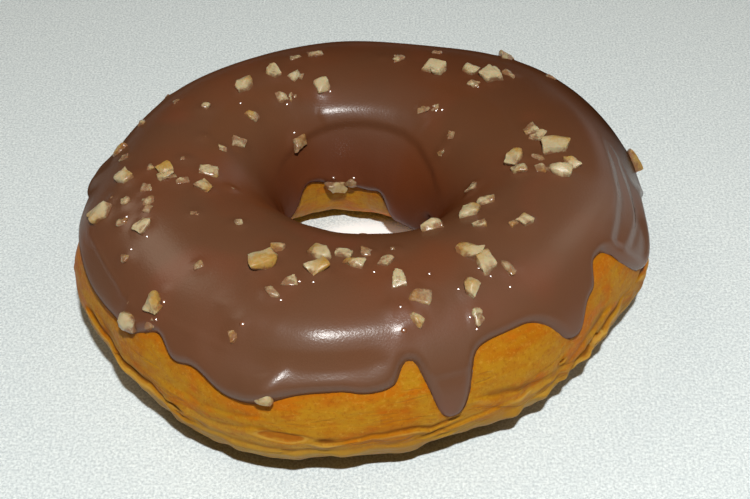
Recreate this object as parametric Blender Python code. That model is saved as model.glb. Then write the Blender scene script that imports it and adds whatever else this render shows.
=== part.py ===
"""Ring doughnut with milk-chocolate icing and chopped nuts, in metres, +Z up.

The origin is under the middle of the doughnut, on the surface it stands on. A place on the
ring is given by two angles: "around" runs counterclockwise seen from above, from +X, and
"across" runs over the ring's section, from 0 at the outer side through 90 at the top to 180
at the hole's narrowest. The side shown to the viewer is around 270 degrees, which is -Y.
"""

import math

import bmesh
import bpy
import numpy as np
from mathutils import Matrix, Vector

MM = 0.001

# The ring of dough.
OUTER_RADIUS = 47.0 * MM
HOLE_RADIUS = 12.85 * MM
DOUGH_HEIGHT = 27.8 * MM
BELT_HEIGHT = 10.7 * MM        # where the ring is widest
FLAT_DEPTH = 1.2 * MM          # how much of the round underside is pressed flat
FULLNESS_ABOVE = 2.03          # 2 is an ellipse, more is squarer
FULLNESS_BELOW = 2.17
CENTRE = (-0.3 * MM, 1.8 * MM)  # of the ring, beside the origin

# Swells round the ring: how many, height, and the angle of one crest.
OUTER_SWELLS = [
    (1, 1.1 * MM, -93),
    (2, 2.8 * MM, 29),
    (3, 0.7 * MM, 22),
    (4, 0.3 * MM, 31),
    (5, 0.3 * MM, -27),
    (7, 0.5 * MM, -6),
]
HOLE_SWELLS = [(1, 1.5 * MM, 160), (2, 2.1 * MM, -23)]
BELT_SWELLS = [(1, 0.6 * MM, -143), (2, 0.35 * MM, -69)]
# Single bumps of the outer side: angle round the ring, half width, height.
OUTER_BUMPS = [(350, 9, 0.9 * MM), (193, 9, 0.6 * MM), (211, 9, -0.7 * MM)]

# Long creases in the side: angle round the ring, half length, angle across, width, depth.
CREASES = [
    (246, 44, 5, 3.0, 0.7 * MM),
    (318, 26, 2, 3.0, 0.6 * MM),
    (20, 34, 6, 3.0, 0.6 * MM),
    (120, 50, 3, 3.5, 0.6 * MM),
]

# The icing lies on the dough like a skin, with a swollen rim.
GAP = 0.35 * MM
ICING_THICKNESS = 1.05 * MM
RIM_HEIGHT = 0.45 * MM         # of its edge face
RIM_SWELL = 0.2 * MM           # extra thickness behind the edge
# More of it where the icing has pooled: angle round the ring, half width, thickness.
LOBES = [(250, 32, 0.5 * MM), (174.5, 6, 1.2 * MM)]
RIM_SWELL_PLACE = 3.5 * MM     # distance of the swell from the edge
RIM_SWELL_WIDTH = 2.6 * MM
EDGE_LEVEL = 30.0              # where the outer edge lies, in degrees across
HOLE_EDGE_LEVEL = 174.0        # where the inner edge lies

# Tongues of icing that run down, and bays where it stays higher (negative reach):
# angle round the ring, half width, reach in degrees across, steepness of the sides.
TONGUES = [
    (172, 9, 15, 4),
    (211.5, 10.5, 7.5, 2.5),
    (220, 2.5, 4, 2),
    (227.3, 2.8, -4, 2),
    (233, 3, 4, 2),
    (247.7, 8, 9.5, 2.5),
    (271.5, 4, 2.5, 3),
    (279, 2.3, -11, 3),
    (286.9, 3.6, 26, 3),
    (301, 10, -11.3, 4),
    (317.6, 4.6, 14, 2.5),
    (333, 4.8, -13, 3.5),
    (346, 6, 19, 2.5),
    (11, 8.5, 18, 4),
    (85, 62, 8, 8),
    (33, 6, 7, 2.5),
    (74, 5, 13, 2.5),
    (118, 4.5, 11, 2.5),
    (156, 9, 12, 4),
]
HOLE_TONGUES = [(46, 26, 26, 6), (100, 24, 5, 4), (173, 33, 22, 8), (262, 12, -7, 2), (306, 12, 8, 2)]

# Chopped nuts on the icing: degrees round the ring, degrees across it, length in mm, and
# the direction of the long side seen from above, in degrees.
NUTS = [
    (1, 87, 4.6, 0), (12.2, 96, 2.8, 30), (7, 94.5, 3.2, 60), (357, 109, 3.8, 70),
    (350.3, 106.3, 3.0, 0), (356.3, 97, 2.6, 0), (350.5, 95.5, 2.5, 90), (355, 82, 3.2, 120),
    (350.3, 85.5, 3.8, 165), (15, 21, 4.0, 100), (43, 89.5, 4.2, 130), (50.5, 90, 3.4, 150),
    (45.5, 98, 2.6, 150), (41.5, 80, 2.8, 150), (50.5, 58, 3.6, 90), (62.5, 95.5, 4.0, 155),
    (78, 90, 2.6, 150), (51, 119, 2.4, 0), (108.5, 85.5, 3.0, 0), (115.5, 85, 2.6, 30),
    (111.5, 114.5, 3.6, 20), (119.5, 103, 3.8, 45), (126, 95.5, 3.2, 130),
    (131, 115, 2.9, 20), (139.5, 97, 4.0, 30), (135, 144.5, 3.6, 50), (147.5, 117, 2.8, 170),
    (165.5, 122.5, 3.2, 0), (115.5, 176, 3.6, 90), (103, 173.5, 2.6, 150),
    (173, 50, 3.4, 160), (178, 60, 2.4, 170), (188, 67.5, 4.6, 130), (190.5, 88.5, 4.2, 110),
    (195, 94, 2.6, 20), (190.5, 109, 3.6, 0), (195, 78, 2.4, 95), (199.5, 104, 3.2, 150),
    (199.5, 77, 2.8, 100), (196, 52, 4.2, 15), (207, 67, 3.4, 45), (240.3, 87, 4.4, 20),
    (240.5, 97.3, 3.0, 0), (255, 101, 3.8, 160), (256, 90.5, 4.0, 40), (250.5, 81.3, 2.7, 0),
    (262.7, 101, 3.2, 160), (266.5, 93.5, 3.0, 160), (271, 101, 2.6, 90), (280.8, 101.5, 2.4, 95),
    (277, 93.5, 3.0, 60), (279.3, 82.3, 3.8, 100), (284, 70.5, 3.4, 170), (281.5, 60, 2.7, 150),
    (296.5, 68.5, 4.0, 70), (295.5, 54.5, 2.8, 120), (304, 77.5, 4.2, 120),
    (303.6, 87.2, 4.0, 165), (308.5, 69, 2.8, 130), (302, 120, 3.8, 5), (319.5, 114, 3.4, 170),
    (329.5, 112, 3.3, 0), (324.5, 85, 3.4, 130), (347.5, 130.5, 2.8, 50),
    (220.5, 30, 3.8, 140), (224.5, 45, 3.6, 60), (226, 36.5, 2.6, 70), (252.5, 27.5, 3.0, 0),
    (243.5, 51, 2.6, 90), (247.5, 73.5, 2.8, 120),
]
# Nuts on the sides that the viewer doesn't see: first and last angle round the ring, first
# and last angle across, and how many.
SPREAD_NUTS = [(45, 140, 27, 33, 5), (195, 345, 146, 160, 5)]
SPREAD_LENGTHS = (2.2, 3.0)
CORNER_SHARES = (0.45, 1.05)   # how far out each corner lies, of the half size
NUT_SINK = 1.0 * MM            # how deep the lowest corner lies in the icing
NUT_SEED = 4

# Corners of a block, with one more on its top and one on a side.
BLOCK_CORNERS = np.array([
    (-1, -1, -1), (1, -1, -1), (-1, 1, -1), (1, 1, -1), (-1, -1, 1),
    (1, -1, 1), (-1, 1, 1), (1, 1, 1), (0.2, 0, 1.3), (1.3, 0.2, 0),
])

# How finely the surfaces are divided.
DOUGH_COLUMNS = 96
ICING_COLUMNS = 120


def swells(terms, around):
    """Sum of the waves in terms, at the given angles in radians."""
    return sum(height * np.cos(count * (around - math.radians(crest)))
               for count, height, crest in terms)


def signed_power(value, fullness):
    return np.sign(value) * np.abs(value) ** (2 / fullness)


def turn_between(around, centre):
    """Signed angle in degrees from centre to around, between -180 and 180."""
    return (np.degrees(around) - centre + 180) % 360 - 180


def pulse(around, centre, half_width, steepness):
    """1 at an angle round the ring, falling to 0 beyond a half width from it."""
    return np.exp(-np.abs(turn_between(around, centre) / half_width) ** steepness)


def section(around, across):
    """Radius and height of the plain ring's surface."""
    outer = OUTER_RADIUS + swells(OUTER_SWELLS, around)
    for centre, half_width, height in OUTER_BUMPS:
        outer = outer + height * pulse(around, centre, half_width, 2)
    hole = HOLE_RADIUS + swells(HOLE_SWELLS, around)
    belt = BELT_HEIGHT + swells(BELT_SWELLS, around)
    above = np.sin(across) > 0
    fullness = np.where(above, FULLNESS_ABOVE, FULLNESS_BELOW)
    reach = np.where(above, DOUGH_HEIGHT - belt, belt + FLAT_DEPTH)
    radius = (outer + hole) / 2 + (outer - hole) / 2 * signed_power(np.cos(across), fullness)
    height = belt + reach * signed_power(np.sin(across), fullness)
    return radius, np.maximum(height, 0.0)


def creases(around, across):
    """Depth of the long creases in the dough's side."""
    depth = 0.0
    for centre, half_length, level, width, deepest in CREASES:
        along = pulse(around, centre, half_length, 4)
        beside = np.exp(-((np.degrees(across) - level) / width) ** 2)
        depth = depth + deepest * along * beside
    return depth


def ring_points(around, across, lift):
    """Points at a height above the ring's surface, along its normal."""
    step = 0.01
    radius, height = section(around, across)
    radius_before, height_before = section(around, across - step)
    radius_after, height_after = section(around, across + step)
    run = radius_after - radius_before
    rise = height_after - height_before
    length = np.hypot(run, rise)
    radius = radius + lift * rise / length
    height = np.maximum(height - lift * run / length, 0.0)
    x = CENTRE[0] + radius * np.cos(around)
    y = CENTRE[1] + radius * np.sin(around)
    return np.stack([x, y, height], axis=-1)


def edge_level(around, level, tongues, direction):
    """Angle across of an icing edge: its level, with the tongues past it."""
    degrees = np.full(np.shape(around), float(level))
    for centre, half_width, reach, steepness in tongues:
        degrees = degrees + direction * reach * pulse(around, centre, half_width, steepness)
    return np.radians(degrees)


def outer_edge(around):
    return edge_level(around, EDGE_LEVEL, TONGUES, -1)


def hole_edge(around):
    return edge_level(around, HOLE_EDGE_LEVEL, HOLE_TONGUES, 1)


def add_object(name, mesh, colour, roughness):
    """Make an object with its own material, shaded smooth."""
    material = bpy.data.materials.new(name)
    material.use_nodes = True
    shader = material.node_tree.nodes["Principled BSDF"]
    shader.inputs["Base Color"].default_value = (*colour, 1.0)
    shader.inputs["Roughness"].default_value = roughness
    shader.inputs["Metallic"].default_value = 0.0
    mesh.materials.append(material)
    mesh.shade_smooth()
    made = bpy.data.objects.new(name, mesh)
    bpy.context.scene.collection.objects.link(made)
    return made


def loop_mesh(name, rings):
    """Closed mesh from rows of points, where the last row joins the first again.

    rings has the shape (rows, columns, 3). Rows and columns both run round.
    """
    rows, columns = rings.shape[:2]
    vertices = rings.reshape(-1, 3)
    faces = []
    for row in range(rows):
        next_row = (row + 1) % rows
        for column in range(columns):
            next_column = (column + 1) % columns
            faces.append((
                row * columns + column,
                row * columns + next_column,
                next_row * columns + next_column,
                next_row * columns + column,
            ))
    mesh = bpy.data.meshes.new(name)
    mesh.from_pydata(vertices.tolist(), [], faces)
    shape = bmesh.new()
    shape.from_mesh(mesh)
    bmesh.ops.triangulate(shape, faces=shape.faces)
    bmesh.ops.recalc_face_normals(shape, faces=shape.faces)
    shape.to_mesh(mesh)
    shape.free()
    return mesh


def floor_angles():
    """The two angles across where the round underside meets the flat."""
    sine = (BELT_HEIGHT / (BELT_HEIGHT + FLAT_DEPTH)) ** (FULLNESS_BELOW / 2)
    angle = math.degrees(math.asin(sine))
    return -angle, 180 + angle


def make_dough():
    """The ring of dough, with a flat ring underneath."""
    first, last = floor_angles()
    levels = [first, -45, -28, -15, -5, 0, 5, 10, 17, 26, 38, 52, 68, 85, 102, 119, 136, 152,
              167, 182, 200, 222, last]
    across = np.radians(levels)[:, None]
    around = np.linspace(0, math.tau, DOUGH_COLUMNS, endpoint=False)[None, :]
    around, across = np.broadcast_arrays(around, across)
    points = ring_points(around, across, -creases(around, across))
    points[0, :, 2] = 0.0
    points[-1, :, 2] = 0.0
    return add_object("dough", loop_mesh("dough", points), (0.42, 0.19, 0.035), 0.55)


def icing_columns():
    """Angles round the ring, closer together where the icing's outer edge runs steeply."""
    fine = np.linspace(0, math.tau, 1441)
    edge = ring_points(fine, outer_edge(fine), 0.0)
    travelled = np.concatenate([[0], np.cumsum(np.linalg.norm(np.diff(edge, axis=0), axis=1))])
    wanted = np.linspace(0, travelled[-1], ICING_COLUMNS, endpoint=False)
    return np.interp(wanted, travelled, fine)


def icing_lift(around, distance):
    """Height of the icing's outer surface above the dough, behind its edge."""
    most = RIM_SWELL
    for centre, half_width, thickness in LOBES:
        most = most + thickness * pulse(around, centre, half_width, 4)
    swell = most * np.exp(-((distance - RIM_SWELL_PLACE) / RIM_SWELL_WIDTH) ** 2)
    rounding = np.minimum(distance / (1.2 * MM), 1.0)
    full = ICING_THICKNESS - RIM_HEIGHT + swell
    return GAP + RIM_HEIGHT + full * np.sin(rounding * math.pi / 2)


def make_icing():
    """The icing: a thin shell whose outer and inner sheets meet at its two edges."""
    around = icing_columns()[None, :]
    start, end = outer_edge(around), hole_edge(around)
    shares = np.array([0, 0.01, 0.05, 0.11, 0.18, 0.27, 0.4, 0.54, 0.68, 0.8, 0.9, 0.98, 1])
    across = start + (end - start) * shares[:, None]
    around_out = np.broadcast_to(around, across.shape)
    bare = ring_points(around_out, across, 0.0)
    steps = np.linalg.norm(np.diff(bare, axis=0), axis=2)
    from_start = np.concatenate([np.zeros((1, steps.shape[1])), np.cumsum(steps, axis=0)])
    nearest = np.minimum(from_start, from_start[-1] - from_start)
    outside = ring_points(around_out, across, icing_lift(around_out, nearest))

    inner_shares = np.array([0, 0.06, 0.14, 0.23, 0.34, 0.46, 0.58, 0.7, 0.82, 0.92, 1])
    across = start + (end - start) * inner_shares[:, None]
    around_in = np.broadcast_to(around, across.shape)
    inside = ring_points(around_in, across, GAP)
    rings = np.concatenate([outside, inside[::-1]])
    return add_object("icing", loop_mesh("icing", rings), (0.10, 0.035, 0.014), 0.3)


def make_nut(index, around, across, length, heading, draw):
    """One chopped nut: the hull of a block's shifted corners, laid on the icing."""
    around, across = math.radians(around), math.radians(across)
    spot = ring_points(np.array(around), np.array(across), GAP + ICING_THICKNESS)
    inner = ring_points(np.array(around), np.array(across), 0.0)
    up = Vector(spot - inner).normalized()
    along = Vector((math.cos(math.radians(heading)), math.sin(math.radians(heading)), 0))
    along = (along - along.dot(up) * up).normalized()
    side = up.cross(along)

    half = np.array([0.52, 0.4, 0.34]) * length * MM
    corners = BLOCK_CORNERS * draw.uniform(*CORNER_SHARES, BLOCK_CORNERS.shape) * half
    centre = Vector(spot) - up * (corners[:, 2].min() + NUT_SINK)
    frame = Matrix((along, side, up)).transposed()

    shape = bmesh.new()
    for corner in corners:
        shape.verts.new(centre + frame @ Vector(corner))
    hull = bmesh.ops.convex_hull(shape, input=shape.verts)
    loose = [item for item in hull["geom_interior"] if isinstance(item, bmesh.types.BMVert)]
    bmesh.ops.delete(shape, geom=loose, context="VERTS")
    bmesh.ops.recalc_face_normals(shape, faces=shape.faces)
    mesh = bpy.data.meshes.new(f"nut_{index}")
    shape.to_mesh(mesh)
    shape.free()
    return bpy.data.objects.new(f"nut_{index}", mesh)


def nut_places(draw):
    """All nuts, the largest first."""
    places = list(NUTS)
    for first_around, last_around, first_across, last_across, count in SPREAD_NUTS:
        pitch = (last_around - first_around) / count
        for index in range(count):
            places.append((
                first_around + pitch * (index + draw.uniform(0.2, 0.8)),
                draw.uniform(first_across, last_across),
                draw.uniform(*SPREAD_LENGTHS),
                draw.uniform(0, 180),
            ))
    return sorted(places, key=lambda place: -place[2])


def fuse_nuts(icing):
    """Join the chopped nuts to the icing by one union."""
    draw = np.random.default_rng(NUT_SEED)
    nuts = bpy.data.collections.new("nuts")
    bpy.context.scene.collection.children.link(nuts)
    for index, place in enumerate(nut_places(draw)):
        nuts.objects.link(make_nut(index, *place, draw))
    union = icing.modifiers.new("nuts", "BOOLEAN")
    union.operation = "UNION"
    union.operand_type = "COLLECTION"
    union.collection = nuts
    union.solver = "EXACT"
    bpy.context.view_layer.update()
    evaluated = icing.evaluated_get(bpy.context.evaluated_depsgraph_get())
    joined = bpy.data.meshes.new_from_object(evaluated)
    icing.modifiers.clear()
    icing.data = joined
    for nut in list(nuts.objects):
        bpy.data.objects.remove(nut, do_unlink=True)
    bpy.data.collections.remove(nuts)


def main():
    for existing in list(bpy.data.objects):
        bpy.data.objects.remove(existing, do_unlink=True)
    make_dough()
    icing = make_icing()
    fuse_nuts(icing)


main()
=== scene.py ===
"""Looks of a ring doughnut with milk-chocolate icing and chopped nuts.

A place on the ring is given by two angles, as in the solids: "around" runs counterclockwise
seen from above, from +X, and "across" runs over the ring's section, from 0 at the outer side
through 90 at the top to 180 at the hole's narrowest. The viewer is at around 270.
"""

import math

import bmesh
import bpy
import numpy as np
from mathutils import Matrix, Vector
from mathutils.kdtree import KDTree

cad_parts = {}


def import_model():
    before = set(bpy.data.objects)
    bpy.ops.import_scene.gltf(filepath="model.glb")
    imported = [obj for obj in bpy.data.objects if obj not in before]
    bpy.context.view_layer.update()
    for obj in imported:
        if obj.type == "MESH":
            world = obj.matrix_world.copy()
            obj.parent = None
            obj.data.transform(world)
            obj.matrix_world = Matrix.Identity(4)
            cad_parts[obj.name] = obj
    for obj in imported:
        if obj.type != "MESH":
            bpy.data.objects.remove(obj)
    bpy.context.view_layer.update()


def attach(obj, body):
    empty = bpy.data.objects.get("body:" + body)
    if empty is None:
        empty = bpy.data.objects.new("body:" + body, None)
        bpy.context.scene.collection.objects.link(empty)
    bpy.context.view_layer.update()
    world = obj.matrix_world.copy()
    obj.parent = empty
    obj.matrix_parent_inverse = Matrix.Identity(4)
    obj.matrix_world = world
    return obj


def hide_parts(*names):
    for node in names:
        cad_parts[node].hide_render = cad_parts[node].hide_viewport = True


MM = 0.001

# The ring, with the same sizes as its solids.
OUTER_RADIUS = 47.0 * MM
HOLE_RADIUS = 12.85 * MM
DOUGH_HEIGHT = 27.8 * MM
BELT_HEIGHT = 10.7 * MM
FLAT_DEPTH = 1.2 * MM
FULLNESS_ABOVE = 2.03
FULLNESS_BELOW = 2.17
CENTRE = (-0.3 * MM, 1.8 * MM)
OUTER_SWELLS = [
    (1, 1.1 * MM, -93), (2, 2.8 * MM, 29), (3, 0.7 * MM, 22), (4, 0.3 * MM, 31), (5, 0.3 * MM, -27),
    (7, 0.5 * MM, -6),
]
HOLE_SWELLS = [(1, 1.5 * MM, 160), (2, 2.1 * MM, -23)]
BELT_SWELLS = [(1, 0.6 * MM, -143), (2, 0.35 * MM, -69)]
OUTER_BUMPS = [(350, 9, 0.9 * MM), (193, 9, 0.6 * MM), (211, 9, -0.7 * MM)]
SLOPE_STEP = 0.01  # radians across, from which the surface's slope is taken

# The icing: thickness, and the same wavy edges as its solid.
ICING_TOP = 1.4 * MM  # its surface above the dough
BEAD_WIDTH = 1.8 * MM  # how far in from the edge it rounds up to full height
EDGE_SINK = 0.15 * MM  # how far below the dough's surface its edge ends
ICING_UNDERSIDE = 0.12 * MM  # its hidden side above the dough
ICING_WAVES = [(0.07 * MM, 30, 16, 31)]  # height, cells round the ring and over it, and seed
RELIEF_START = 3 * MM  # how far in from the edge its relief is full
# Swellings along the rim: around, half width, height, how far in from the edge, and width.
LOBES = [
    (0, 400, 0.06 * MM, 1.6 * MM, 1.4 * MM),
    (251.2, 4.0, 0.8 * MM, 2.4 * MM, 1.8 * MM),
    (174.5, 6, 1.1 * MM, 3.3 * MM, 2.4 * MM),
]
# The step where the icing drops into the hole: depth, the stretch of the ring that has it (its
# middle, half width and steepness), and the way it runs.
HOLE_STEP = (0.6 * MM, (81, 68, 6), [
    (-10, 158), (19, 152), (28.5, 148), (40, 144), (50, 139.5), (63, 136), (76, 135), (89, 135.5),
    (102.5, 137), (115.5, 139), (124, 141), (133, 144), (143, 148), (170, 156),
])
HOLE_STEP_SLOPES = (-2, 4, 12, 42)  # degrees past its path: it drops, and comes up again
# Low ridges and folds in the icing: height, width in degrees across, and the way they run as
# points (around, across).
ICING_RIDGES = [
    (0.15 * MM, 1.2, [(188, 42), (192, 42.5), (202, 43.5), (214, 40), (217, 38)]),
    (0.12 * MM, 2.0, [(226, 41.5), (236, 44), (244, 44)]),
    (0.4 * MM, 9.0, [(240, 62), (249, 60.5), (264, 59.5), (275, 61), (285, 65)]),
    (-0.34 * MM, 7.5, [(240, 44), (249, 43), (264, 42.5), (272, 43)]),
    (0.2 * MM, 6.5, [(52, 128), (63, 127), (76, 126.5), (89, 127.5), (102.5, 130), (116, 132)]),
    (0.26 * MM, 3.6, [(-20, 35), (-12, 39), (-6, 45), (-1, 48), (4.5, 49), (9, 52)]),
    (-0.18 * MM, 3.2, [(-16, 30), (-10, 34), (-5, 40), (0, 43), (5, 46)]),
    (0.16 * MM, 3.0, [(-9, 31), (-5, 34.5), (-1, 38), (2, 38)]),
]
# The icing hangs steeply on the right side. The terms are those of the step at the hole.
SIDE_STEP = (0.95 * MM, (-9, 20, 6), [
    (-32, 39), (-28, 40.5), (-23, 43), (-13, 53), (-4, 57.5), (5, 57.7), (14.3, 57.5), (24, 60),
])
SIDE_STEP_SLOPE = (-3, 7)
PATH_END = 2  # degrees before a path's end where it starts to fade
PATH_SOFTNESS = 3  # how slowly it fades
# Single bumps: around, across, size, height. The first is broad.
BUMPS = [
    (258, 59, 6.5 * MM, 0.42 * MM),
    (247.5, 59.5, 1.6 * MM, 0.2 * MM),
    (244.5, 57.5, 1.1 * MM, 0.26 * MM),
    (251.5, 58.5, 1.5 * MM, 0.14 * MM),
    (278.5, 55.8, 1.3 * MM, 0.22 * MM),
    (252.4, 31.5, 1.6 * MM, 0.25 * MM),
    (255.0, 34.8, 1.8 * MM, 0.22 * MM),
]
BUMP_STEPS = (0.69 * MM, 0.27 * MM)  # how long a degree is there, round the ring and across
# The swelled lip above the step: around, across, how far it reaches both ways, and height.
LIP_SWELL = (102, 128, 24, 20, 0.55 * MM)
# Where the icing is glossier: around, half width, from and to across, and how softly it ends.
GLOSSY_PLACES = [
    (-9, 20, -40, 59, 5), (212, 26, 52, 108, 9), (338, 18, 55, 104, 9), (203, 15, 34, 46, 2),
]
# Where it shines less, in the same terms.
DULL_PLACES = [
    (28, 34, 102, 190, 6), (152, 30, 102, 190, 6), (42, 26, 10, 66, 8), (8, 20, 66, 104, 6),
    (262, 14, 40, 50, 3), (123, 9, 106, 140, 4),
]
# The fold above the long drip: around, half width, across, how far it drops, and how softly.
DRIP_FOLD = (287.4, 5.2, 31, 0.25 * MM, 2.5)
# The icing's edges: their level across, and their tongues: around, half width, reach, steepness.
EDGE_LEVEL = 30.0
HOLE_EDGE_LEVEL = 174.0
TONGUES = [
    (172, 9, 15, 4), (211.5, 10.5, 7.5, 2.5), (220, 2.5, 4, 2), (227.3, 2.8, -4, 2), (233, 3, 4, 2),
    (247.7, 8, 9.5, 2.5), (271.5, 4, 2.5, 3), (279, 2.3, -11, 3), (287.2, 4.2, 26, 3.5),
    (301, 10, -11.3, 4), (317.6, 4.6, 14, 2.5), (333, 4.8, -13, 3.5), (346, 6, 19, 2.5),
    (11, 8.5, 18, 4), (85, 62, 8, 8), (33, 6, 7, 2.5), (74, 5, 13, 2.5), (118, 4.5, 11, 2.5),
    (156, 9, 12, 4),
]
HOLE_TONGUES = [(46, 26, 26, 6), (100, 24, 5, 4), (173, 33, 22, 8), (262, 12, -7, 2), (306, 12, 8, 2)]

# The icing is a little higher round each nut.
COLLAR_RISES = {"p": 0.2 * MM, "g": 0.2 * MM, "c": 0.24 * MM}
COLLAR_START = 0.36  # share of the nut's length
COLLAR_WIDTH = 0.7 * MM
COLLAR_CLEAR = 1.5 * MM  # how far in from the edge it is full

# Noise in the dough's surface: height, cells round the ring and over its section, and seed.
LUMPS = [(0.22 * MM, 26, 12, 5), (0.2 * MM, 58, 26, 6)]
LOW_LUMPS = [(0.4 * MM, 44, 10, 12)]
ROUGH_LUMPS = [(0.24 * MM, 130, 14, 14)]
WRINKLES = [(0.06 * MM, 110, 70, 7), (0.03 * MM, 260, 160, 8)]
PATCHES = [(1.0, 34, 20, 21), (0.5, 90, 60, 22)]
COVERED_SHARE = 0.3  # how much of the lumps goes on below the icing
# Where they are, in degrees across: from 0 up to full, and from full down to 0.
UNDER_ICING = (26, 40, 166, 178)
ABOVE_UNDERSIDE = (-62, -46, 226, 242)
LOW_SIDE = (-60, -40, -12, 2)
ROUGH_SIDE = (-60, -40, 2, 14)
TOP_OF_SIDE = 100  # the outer side ends here and the hole's side starts

# Folds in the dough's side: depth, width in degrees across, and the way they run as points
# (around, across).
FOLDS = [
    (0.75 * MM, 1.3, [(205, 5), (215, 1.5), (220.5, -1.5), (227, -0.5), (231.5, -4), (236, -9)]),
    (0.35 * MM, 1.8, [(233, 0), (236, 1.8), (243, 1), (250, 7), (259, 4.5), (264, 1.5)]),
    (0.45 * MM, 0.9, [(261, 0.5), (267, 0.5), (277, 2.5), (283, -1.2), (289, 0)]),
    (0.35 * MM, 1.2, [(281, -8), (284.3, -5.5), (293, -1.5), (297, 0.5), (304, 1)]),
    (0.22 * MM, 2.2, [(210, 9), (218, 6.2), (227.5, 10), (241, 11), (250, 13)]),
    (0.30 * MM, 2.0, [(238, -9), (248, -7), (262, -9), (276, -8), (286, -12)]),
    (0.25 * MM, 2.4, [(294, 10), (304, 4), (312, 1), (321, 6), (330, 9)]),
    (0.55 * MM, 1.3, [(318, -5), (324, -3), (327, -2), (331, 1), (337, 6)]),
    (0.5 * MM, 1.8, [(-14, 6), (10, 2), (35, 5), (60, 2)]),
    (0.5 * MM, 1.8, [(52, -2), (80, 3), (118, 7)]),
    (0.5 * MM, 1.7, [(108, 4), (140, 1), (165, 6), (192, 9)]),
    (0.35 * MM, 2.0, [(30, -14), (60, -10), (90, -9)]),
    (0.35 * MM, 2.0, [(120, -10), (150, -15), (198, -13)]),
]
FOLD_WANDER = 0.7  # degrees that a fold strays from its path
WANDER_CELLS = 60  # how often it does so round the ring
UNEVEN_CELLS = 36  # how often its depth changes
FOLD_SEED = 50
GROOVE_SIDES = (2.2, 1.2)  # how soft its upper side is, and how steep its lower side
GROOVE_STEEPNESS = 1.4
LIP_SHARE = 0.5  # height of the lip below, as a share of the fold's depth
LIP_AWAY = 2.2  # in fold widths
LIP_WIDTH = 1.5

# Sunken scars and pits: around, across, half sizes in degrees round and across, depth.
SCARS = [
    (255.3, 3.4, 4.4, 2.6, 0.35 * MM), (313.8, 5.8, 0.9, 1.6, 0.5 * MM),
    (327, -1.5, 1.6, 2.2, 0.5 * MM), (233.5, -3, 2.0, 2.5, 0.4 * MM), (311, -6, 5.0, 4.0, 0.3 * MM),
    (150, -4, 4.0, 3.0, 0.3 * MM), (60, 8, 3.0, 3.0, 0.3 * MM), (325.8, -1.5, 1.2, 4.5, 0.5 * MM),
]
SCAR_NOISE = [(0.12, 150, 150, 9)]
SCAR_EDGE = (1.25, 0.75)  # in half sizes, as are the next four
SCAR_SLOPE = (1.2, 0.6)
RIM_AWAY = 1.35
RIM_WIDTH = 0.22
RIM_SHARE = 0.4  # height of a scar's rim, as a share of its depth

# Knobs that stand out of the side: around, across, half sizes in degrees, height.
KNOBS = [
    (309, -14, 1.8, 5.0, 0.7 * MM), (314.8, -8, 1.5, 4.5, 0.6 * MM),
    (322.5, -8, 2.0, 6.0, 0.7 * MM), (330, -6, 1.6, 6.0, 0.5 * MM), (301, -16, 2.5, 5.0, 0.5 * MM),
    (226, -8, 5.0, 3.5, 0.4 * MM),
]

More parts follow.
